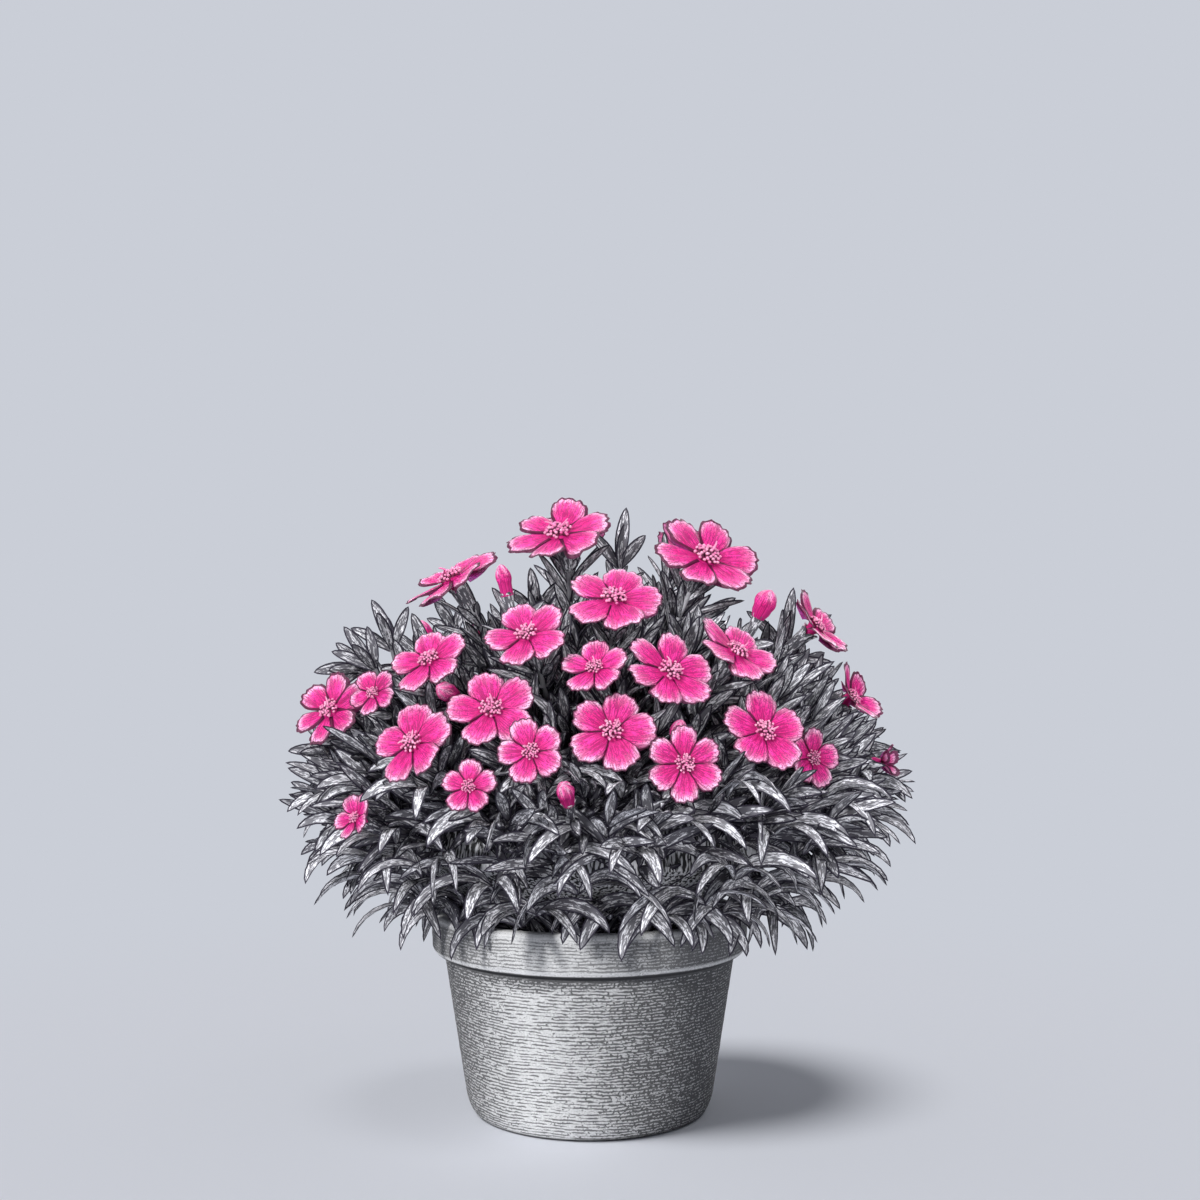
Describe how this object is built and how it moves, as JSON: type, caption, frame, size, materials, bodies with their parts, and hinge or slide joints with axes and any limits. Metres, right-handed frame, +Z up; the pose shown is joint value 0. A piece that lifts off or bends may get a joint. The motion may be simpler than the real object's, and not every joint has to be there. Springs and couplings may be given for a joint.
{
  "type": "potted dianthus plant",
  "caption": "Flowering garden pink in a round clay pot with a rolled collar: a dome of narrow arching grey leaves under rounded pink blooms with toothed petals.",
  "frame": {"origin": "centre of the pot's underside, on the surface that the pot stands on", "axes": "+Z up along the pot's axis, -Y towards the front of the plant, +X to its right"},
  "size_m": [0.2532, 0.2429, 0.2489],
  "materials": {
    "clay": "unglazed grey clay, matt, with fine level throwing lines",
    "soil": "dark crumbly potting compost, matt",
    "foliage": "blue-grey leaves with dark margins and lengthwise streaks, satin",
    "petals": "vivid pink petals, paler at the toothed edge, with fine streaks, soft matt"
  },
  "bodies": {
    "root": {"pot": "clay", "soil": "soil", "leafy_bush": "foliage", "bloom_01": "petals", "bloom_02": "petals", "bloom_03": "petals", "bloom_04": "petals", "bloom_05": "petals", "bloom_06": "petals", "bloom_07": "petals", "bloom_08": "petals", "bloom_09": "petals", "bloom_10": "petals", "bloom_11": "petals", "bloom_12": "petals", "bloom_13": "petals", "bloom_14": "petals", "bloom_15": "petals", "bloom_16": "petals", "bloom_17": "petals", "bloom_18": "petals", "bloom_19": "petals", "bloom_20": "petals", "bloom_21": "petals", "bloom_22": "petals", "bloom_23": "petals", "bloom_24": "petals", "bloom_25": "petals", "bloom_26": "petals", "bloom_27": "petals", "bloom_28": "petals", "bloom_29": "petals", "bloom_30": "petals", "bloom_31": "petals", "bloom_32": "petals", "bloom_33": "petals", "bloom_34": "petals", "bloom_35": "petals", "bloom_36": "petals", "bud_01": "petals", "bud_02": "petals", "bud_03": "petals", "bud_04": "petals", "bud_05": "petals", "bud_06": "petals", "bud_07": "petals"}
  },
  "joints": []
}
